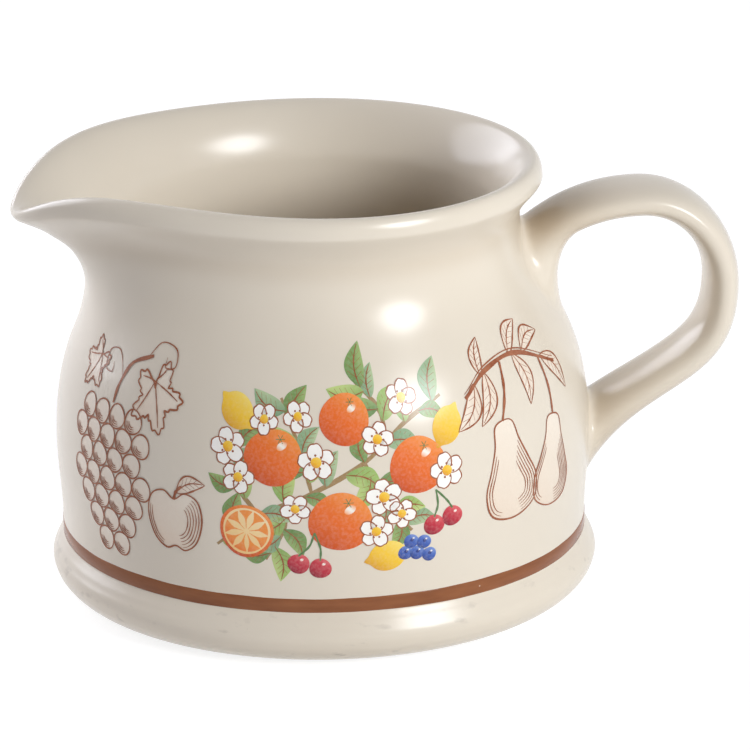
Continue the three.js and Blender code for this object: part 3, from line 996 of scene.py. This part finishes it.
class Film:
    """One colour pass of a print: thin patches, each on a layer of its own."""

    def __init__(self):
        self.places, self.colours, self.levels, self.faces = [], [], [], []
        self.count = 0

    def patch(self, grid, colours, level):
        """A net of points in rows, each with its colour."""
        rows, columns = grid.shape[:2]
        self.faces += (self.count + net_faces(rows, columns, closed=False)).tolist()
        self.places.append(grid.reshape(-1, 2))
        self.colours.append(np.broadcast_to(colours, (rows, columns, 3)).reshape(-1, 3))
        self.levels.append(np.full(rows * columns, level))
        self.count += rows * columns

    def lay(self, name, material):
        """The pass as thin sheets laid on the jug's wall."""
        place = np.vstack(self.places)
        wall = wall_line()
        radius = np.interp(place[:, 1], wall[:, 1], wall[:, 0])
        angle = math.radians(PRINT_MIDDLE) + place[:, 0] / BELLY_RADIUS
        spot = around_axis(radius, angle, place[:, 1])
        lift = PRINT_LIFT + PRINT_STEP * np.concatenate(self.levels)
        lifted = pull_lip(spot) + wall_normal(spot) * lift[:, None]
        piece = add_piece(name, lifted, self.faces, material)
        shade = piece.data.attributes.new("shade", "FLOAT_COLOR", "POINT")
        colours = np.column_stack([np.vstack(self.colours), np.ones(len(place))])
        shade.data.foreach_set("color", colours.ravel())
        net = bmesh.new()
        net.from_mesh(piece.data)
        bmesh.ops.remove_doubles(net, verts=net.verts, dist=PRINT_WELD * MM)
        net.to_mesh(piece.data)
        net.free()


class Transfer:
    """A printed picture, drawn flat in millimetres along the wall and up from the table."""

    def __init__(self, seed):
        self.chance = np.random.default_rng(seed)
        self.paint = Film()
        self.ink = Film()
        self.leaf_level = 0

    def any_start(self):
        """A start for a wave, by chance."""
        return self.chance.uniform(0, ANY_START)

    def stroke(self, path, width=PEN, colour=INK, level=PEN_LEVEL, taper=TAPER):
        """A pen or brush line, pressed hardest in its middle."""
        path = np.asarray(path, float)
        share = np.linspace(-1, 1, len(path))
        shake = 1 + PEN_SHAKE * np.sin(share * SHAKE_WAVES + self.any_start())
        press = width / 2 * (1 - taper * share**2) * shake
        half = press[:, None] * -sideways(path)
        film = self.ink if colour is INK else self.paint
        film.patch(np.stack([path - half, path + half], 1), linear(colour), level)

    def wash(self, outline, middle, tones, level, lit=WASH_LIT):
        """A filled outline, light on one side and deep on the other."""
        light, main, deep = linear(tones)
        share = np.linspace(0, 1, WASH_RINGS)[:, None, None]
        reach = outline - middle
        side = reach @ np.array(lit)
        side = side / np.abs(side).max() * share[..., 0]
        lighter = mixed(main, light, np.clip(side, 0, 1) ** LIGHT_EASE)
        colours = mixed(lighter, deep, np.clip(-side, 0, 1) ** DEEP_EASE)
        self.paint.patch(middle + reach * share, colours, level)

    def round_outline(self, middle, radii, turn=0, waver=ROUND_WAVER):
        """A round or oval outline, not quite even."""
        angle = np.linspace(0, 2 * np.pi, ROUND_POINTS)
        size = 1 + waver * np.sin(ROUND_WAVES * angle + self.any_start())
        return middle + turned(circle(angle) * radii * size[:, None], turn)

    def disc(self, middle, radii, tones, level, turn=0):
        """A round or oval wash."""
        self.wash(self.round_outline(middle, radii, turn), middle, tones, level)

    def leaf(self, base, tip, width, tones, level):
        """A pointed leaf, its two halves in different greens, with its middle rib and veins."""
        light, main, deep = linear(tones)
        rib, across, half = leaf_form(base, tip, width, LEAF_ROWS)
        rows, columns = np.linspace(0, 1, LEAF_ROWS), np.linspace(-1, 1, LEAF_COLUMNS)
        share, side = np.meshgrid(rows, columns, indexing="ij")
        grid = rib[:, None] + across * (half[:, None] * side)[..., None]
        halves = mixed(main, light, np.sqrt(np.clip(-side, 0, 1)))
        self.paint.patch(grid, mixed(halves, deep, LEAF_SHADE * (1 - share) ** 2), level)
        self.stroke(rib[:-1], FINE_PEN, level=VEIN_LEVEL)
        for row in VEIN_ROWS:
            for edge in (-VEIN_REACH, VEIN_REACH):
                end = rib[row + VEIN_CLIMB] + across * half[row + VEIN_CLIMB] * edge
                self.stroke([rib[row], end], VEIN_PEN, level=VEIN_LEVEL)

    def leafy_twig(self, points, spots):
        """A thin woody twig with leaves on both its sides in turn."""
        path = smooth(points)
        self.stroke(path, TWIG, TWIG_BROWN, level=0, taper=LESS_TAPER)
        for number, spot in enumerate(spots):
            i = int(spot * (len(path) - 2))
            along = path[i + 1] - path[i]
            side = LEAF_ANGLE if number % 2 else -LEAF_ANGLE
            side += self.chance.uniform(-LEAF_ANGLE_CHANGE, LEAF_ANGLE_CHANGE)
            way = turned(along / np.linalg.norm(along), side)
            size = self.chance.uniform(*LEAF_LENGTH_CHANGE)
            self.leaf_level = self.leaf_level % LEAF_LEVELS + 1
            tip = path[i] + way * LEAF_LENGTH * size
            self.leaf(path[i], tip, LEAF_WIDTH * size, GREENS[number % len(GREENS)], self.leaf_level)

    def blossom(self, middle, size, turn):
        """White petals with notched ends round a yellow eye and its ring of dots."""
        around = np.linspace(0, 2 * np.pi, PETAL_POINTS)
        notch = 1 - bell(np.sin(around / 2), *PETAL_NOTCH)
        outwards = np.cos(around) * PETAL[0] * notch + PETAL_PLACE
        petal = np.column_stack([outwards, np.sin(around) * PETAL[1]]) * size
        for number in range(PETAL_COUNT):
            way = turn + 360 / PETAL_COUNT * number
            outline = middle + turned(petal, way)
            heart = middle + turned([PETAL_HEART * size, 0], way)
            level = PETAL_LEVEL + number % 2 + (number == PETAL_COUNT - 1)
            self.wash(outline, heart, PETALS, level, lit=turned([1, 0], way))
            self.stroke(outline, PETAL_PEN, level=level + HALF_LEVEL, taper=0)
        self.disc(middle, EYE * size, EYES, EYE_LEVEL)
        for number in range(DOTS):
            dot = middle + turned([DOT_PLACE * size, 0], turn + DOT_TURN + number * 360 / DOTS)
            self.disc(dot, DOT * size, (INK, INK, INK), EYE_LEVEL + 1)

    def fruit(self, middle, radii, tones, level=FRUIT_LEVEL):
        """A round fruit with a small patch left pale for its shine."""
        self.disc(middle, radii, tones, level)
        shine = middle + np.multiply(radii, SHINE_PLACE)
        patch = np.multiply(radii, SHINE_PATCH)
        self.disc(shine, patch, (tones[0], PAPER, tones[0]), level + SHINE_LEVEL, SHINE_TURN)

    def hatch(self, outline, middle, first, last, shares):
        """Pen lines inside an outline, from one of its points to another, at shares of its size."""
        for share in shares:
            self.stroke(middle + (outline[first:last] - middle) * share, HATCH_PEN)

    def lay(self, name, paint_coat, ink_coat):
        self.paint.lay(name + "_paint", paint_coat)
        self.ink.lay(name + "_ink", ink_coat)


def fruit_bough(*coats):
    """The coloured print: a bough with citrus fruit, blossom, cherries and berries."""
    art = Transfer(BOUGH_SEED)
    for points, spots in BOUGH_TWIGS:
        art.leafy_twig(points, spots)
    for middle, radius in ORANGE_SPOTS:
        whole_orange(art, middle, radius)
    cut_orange(art, *CUT_ORANGE_SPOT)
    for middle, turn in LEMON_SPOTS:
        whole_lemon(art, middle, turn)
    for top, middles in CHERRY_SPOTS:
        cherry_pair(art, top, middles)
    for middle in BERRY_SPOTS:
        art.fruit(middle, BERRY, BERRIES)
        eye = np.add(middle, BERRY_EYE_SHIFT)
        art.fruit(eye, BERRY_EYE, (BERRIES[2],) * 3, level=FRUIT_LEVEL + 1)
    for number, middle in enumerate(BLOSSOMS):
        size = BLOSSOM_SIZE + BLOSSOM_CHANGE * math.sin(BLOSSOM_WAVE * number)
        art.blossom(middle, size, BLOSSOM_TURN * number)
    art.lay("fruit_print", *coats)


def whole_orange(art, middle, radius):
    """An orange with the green star of its stalk."""
    art.fruit(middle, (radius, radius * ORANGE_HEIGHT), ORANGES)
    top = np.add(middle, np.array(ORANGE_TOP) * radius)
    for ray in range(STAR_RAYS):
        end = top + turned([STAR_REACH * radius, 0], ray * 360 / STAR_RAYS)
        art.stroke([top, end], STAR_PEN, SHADE_GREENS[2], FRUIT_LEVEL + 1)


def cut_orange(art, middle, radius):
    """A slice across the fruit, its segments round the middle."""
    art.disc(middle, radius, ORANGES, FRUIT_LEVEL)
    art.disc(middle, radius * PITH_REACH, PITH, FRUIT_LEVEL + HALF_LEVEL)
    near, far = SEGMENT_REACH
    edge = np.linspace(-SEGMENT_SPREAD, SEGMENT_SPREAD, SEGMENT_POINTS)
    spread = np.radians(np.concatenate([[0], edge, [0]]))
    reach = np.concatenate([[near], np.full(SEGMENT_POINTS, far), [near]])
    segment = circle(spread) * reach[:, None] * radius
    for number in range(SEGMENTS):
        way = number * 360 / SEGMENTS + SEGMENT_TURN
        heart = middle + turned([SEGMENT_HEART * radius, 0], way)
        tones = (ORANGES[0], ORANGES[0], ORANGES[1])
        art.wash(middle + turned(segment, way), heart, tones, FRUIT_LEVEL + 1)


def whole_lemon(art, middle, turn):
    """A lemon, an oval with a point at both ends."""
    angle = np.linspace(0, 2 * np.pi, ROUND_POINTS)
    tip = 1 + bell(np.sin(angle), *LEMON_TIP)
    shape = np.column_stack([np.cos(angle) * LEMON[0] * tip, np.sin(angle) * LEMON[1]])
    art.wash(middle + turned(shape, turn), middle, LEMONS, FRUIT_LEVEL)


def cherry_pair(art, top, middles):
    """Cherries that hang from one point by their stalks."""
    stalk_level = FRUIT_LEVEL + 1 + HALF_LEVEL
    for middle in middles:
        bend = np.add(top, middle) / 2 + CHERRY_BEND
        stalk = smooth([top, bend, np.add(middle, (0, CHERRY_DIMPLE))])
        art.stroke(stalk, CHERRY_PEN, SHADE_GREENS[2], stalk_level, taper=LEAST_TAPER)
        art.fruit(middle, CHERRY, CHERRIES)


def pen_leaf(art, base, tip, width):
    """A leaf in brown line."""
    art.leaf(base, tip, width, BLUSH, BLUSH_LEVEL - 1)
    rib, across, half = leaf_form(base, tip, width, PEN_LEAF_POINTS)
    for edge in (-1, 1):
        art.stroke(rib + across * (edge * half)[:, None])


def pen_vine(*coats):
    """The left print in brown line: grapes under vine leaves, and an apple beside them."""
    art = Transfer(VINE_SEED)
    for row, count in enumerate(GRAPE_ROWS):
        for place in range(count):
            across = (place - (count - 1) / 2) * GRAPE * 2 + GRAPE_ROW_SHIFT * row
            middle = np.add(BUNCH_TOP, (across, -row * GRAPE * GRAPE_ROW_DROP))
            outline = art.round_outline(middle, GRAPE * GRAPE_FILL, waver=GRAPE_WAVER)
            art.wash(outline, middle, BLUSH, BLUSH_LEVEL)
            art.stroke(outline, taper=LESS_TAPER)
            art.hatch(outline, middle, *GRAPE_SHADE)
    art.stroke(smooth(VINE_STEM), STEM_PEN, taper=LEAST_TAPER)
    for tendril in TENDRILS:
        art.stroke(smooth(tendril, TENDRIL_STEPS), FINE_PEN)
    for leaf in VINE_LEAVES:
        vine_leaf(art, *leaf)
    apple(art, *APPLE_SPOT)
    art.lay("vine_print", *coats)


def vine_leaf(art, middle, size, turn):
    """A leaf of five lobes with toothed edges."""
    angle = np.radians(np.linspace(0, 360, VINE_LEAF_POINTS))
    lobes = LOBE_REACH[0] + LOBE_REACH[1] * np.cos(LOBES * angle) + TOOTH * np.cos(TEETH * angle)
    lobes -= bell(angle - np.pi, *LEAF_NOTCH)
    shape = circle(angle) * lobes[:, None] * size
    outline = middle + turned(shape, turn)
    foot = middle + turned([LEAF_FOOT * size, 0], turn)
    art.wash(outline, middle, BLUSH, BLUSH_LEVEL)
    art.stroke(outline, taper=0)
    along, aside = RIB_BEND
    for lobe in range(LOBES):
        way = 360 / LOBES * (lobe - LOBES // 2)
        end = middle + turned([LOBE_RIB * size, 0], turn + way)
        bend = foot * (1 - along) + end * along + turned([0, aside * size], turn)
        art.stroke(smooth([foot, bend, end]), FINE_PEN)


def mirrored(half, size):
    """A closed soft outline from its right half."""
    right = np.array(half) * size
    return smooth(np.vstack([right, right[-2:0:-1] * [-1, 1]]), OUTLINE_STEPS, closed=True)


def apple(art, middle, size):
    """An apple with its stalk, a leaf and lines of shade."""
    outline = middle + mirrored(HALF_APPLE, size)
    art.wash(outline, middle, BLUSH, APPLE_LEVEL)
    art.stroke(outline, taper=LEAST_TAPER)
    for shade in APPLE_SHADES:
        art.hatch(outline, middle, *shade)
    dimple = np.add(middle, (0, APPLE_DIMPLE * size))
    art.stroke(smooth(dimple + APPLE_STALK), APPLE_PEN, taper=LEAST_TAPER)
    pen_leaf(art, *(dimple + APPLE_LEAF), APPLE_LEAF_WIDTH)


def pen_pears(*coats):
    """The right print in brown line: two pears on a leafy branch."""
    art = Transfer(PEAR_SEED)
    branch = smooth(PEAR_BRANCH)
    art.stroke(branch, BRANCH_PEN, taper=LESS_TAPER)
    art.stroke(branch + BRANCH_LINE, PETAL_PEN)
    for pear_spot in PEARS:
        pear(art, *pear_spot)
    for leaf in PEAR_LEAVES:
        pen_leaf(art, *leaf)
    art.lay("pear_print", *coats)


def pear(art, middle, size, turn, branch):
    """A pear that hangs by its stalk from the branch, with lines of shade."""
    outline = middle + turned(mirrored(HALF_PEAR, size), turn)
    heart = middle + turned([0, PEAR_HEART * size], turn)
    art.wash(outline, heart, BLUSH, BLUSH_LEVEL)
    art.stroke(outline, taper=LEAST_TAPER)
    for shade in PEAR_SHADES:
        art.hatch(outline, heart, *shade)
    top = middle + turned([0, PEAR_TOP * size], turn)
    bend = np.add(top, branch) / 2 + PEAR_STALK_BEND
    art.stroke(smooth([top, bend, branch]), PEAR_PEN, taper=LEAST_TAPER)


def direction(azimuth, elevation):
    """Unit vector to a place round the jug, from degrees round from +X and up."""
    turn, tilt = np.radians([azimuth, elevation])
    return Vector((math.cos(tilt) * math.cos(turn), math.cos(tilt) * math.sin(turn), math.sin(tilt)))


def add_softbox(name, azimuth, elevation, across, upright, power, colour):
    """A rounded lamp that looks at the middle of the jug."""
    lamp = bpy.data.lights.new(name, "AREA")
    lamp.shape = "ELLIPSE"
    lamp.size = across
    lamp.size_y = upright
    lamp.energy = power
    lamp.color = colour
    box = add_object(name, lamp)
    way = direction(azimuth, elevation)
    box.location = Vector((AXIS_X, 0, JUG_HEIGHT * MM / 2)) + way * LAMP_DISTANCE
    box.rotation_euler = way.to_track_quat("Z", "Y").to_euler()


def seen_or_lit(tree, lit, seen, output):
    """One shader where a thing is seen, directly or mirrored, another for the light it gives."""
    path = tree.nodes.new("ShaderNodeLightPath")
    looking = path.outputs["Is Camera Ray"]
    for kind in ("Is Glossy Ray", "Is Transmission Ray"):
        either = add_node(tree, "ShaderNodeMath", [(0, looking), (1, path.outputs[kind])])
        either.operation = "MAXIMUM"
        looking = either.outputs[0]
    shaders = [("Fac", looking), (1, lit.outputs[0]), (2, seen.outputs[0])]
    choose = add_node(tree, "ShaderNodeMixShader", shaders)
    tree.links.new(choose.outputs[0], tree.nodes[output].inputs["Surface"])


def light_room():
    """White room with two softboxes, as in a product picture."""
    world = bpy.data.worlds.new("studio")
    bpy.context.scene.world = world
    world.use_nodes = True
    tree = world.node_tree
    room = tree.nodes["Background"]
    room.inputs["Color"].default_value = (*ROOM_COLOUR, 1)
    room.inputs["Strength"].default_value = ROOM_LIGHT
    white = add_node(tree, "ShaderNodeBackground", Color=(1, 1, 1, 1), Strength=1.0)
    seen_or_lit(tree, room, white, "World Output")
    for lamp in SOFTBOXES:
        add_softbox(*lamp)


def add_floor():
    """White table top, which shows only the jug's soft shadow."""
    half = FLOOR_SIZE / 2
    mesh = bpy.data.meshes.new("floor")
    corners = [(-half, -half, 0), (half, -half, 0), (half, half, 0), (-half, half, 0)]
    mesh.from_pydata(corners, [], [(0, 1, 2, 3)])
    floor = add_object("floor", mesh)
    material = bpy.data.materials.new("white_table")
    material.use_nodes = True
    tree = material.node_tree
    tree.nodes.remove(tree.nodes["Principled BSDF"])
    lit = add_node(tree, "ShaderNodeBsdfDiffuse", Color=shade_of(FLOOR_GREY))
    shadow = add_node(tree, "ShaderNodeBsdfDiffuse", Color=shade_of(SHADOW_GREY))
    glow = add_node(tree, "ShaderNodeEmission", Strength=FLOOR_GLOW)
    seen = add_node(tree, "ShaderNodeAddShader", [(0, shadow.outputs[0]), (1, glow.outputs[0])])
    seen_or_lit(tree, lit, seen, "Material Output")
    mesh.materials.append(material)


def place_camera():
    """The camera, where the photograph was taken from."""
    back = direction(VIEW_TURN, VIEW_ELEVATION)
    right = Vector((-back.y, back.x, 0)).normalized()
    aim = Vector((AXIS_X / MM, 0, AIM_HEIGHT)) + right * AIM_RIGHT
    level = Matrix((right, back.cross(right), back)).transposed()
    pose = (level @ Matrix.Rotation(math.radians(VIEW_ROLL), 3, "Z")).to_4x4()
    pose.translation = (aim + back * VIEW_DISTANCE) * MM
    camera = add_object("camera", bpy.data.cameras.new("camera"))
    camera.data.lens = LENS_MM
    camera.data.sensor_width = SENSOR_MM
    camera.matrix_world = pose
    bpy.context.scene.camera = camera


place_camera()
light_room()
add_floor()
cream = glaze_finish()
build_jug(cream, build_handle(cream))
build_band(band_finish())
coats = paint_finish(), ink_finish()
fruit_bough(*coats)
pen_vine(*coats)
pen_pears(*coats)

bpy.context.scene.view_settings.view_transform = "Standard"
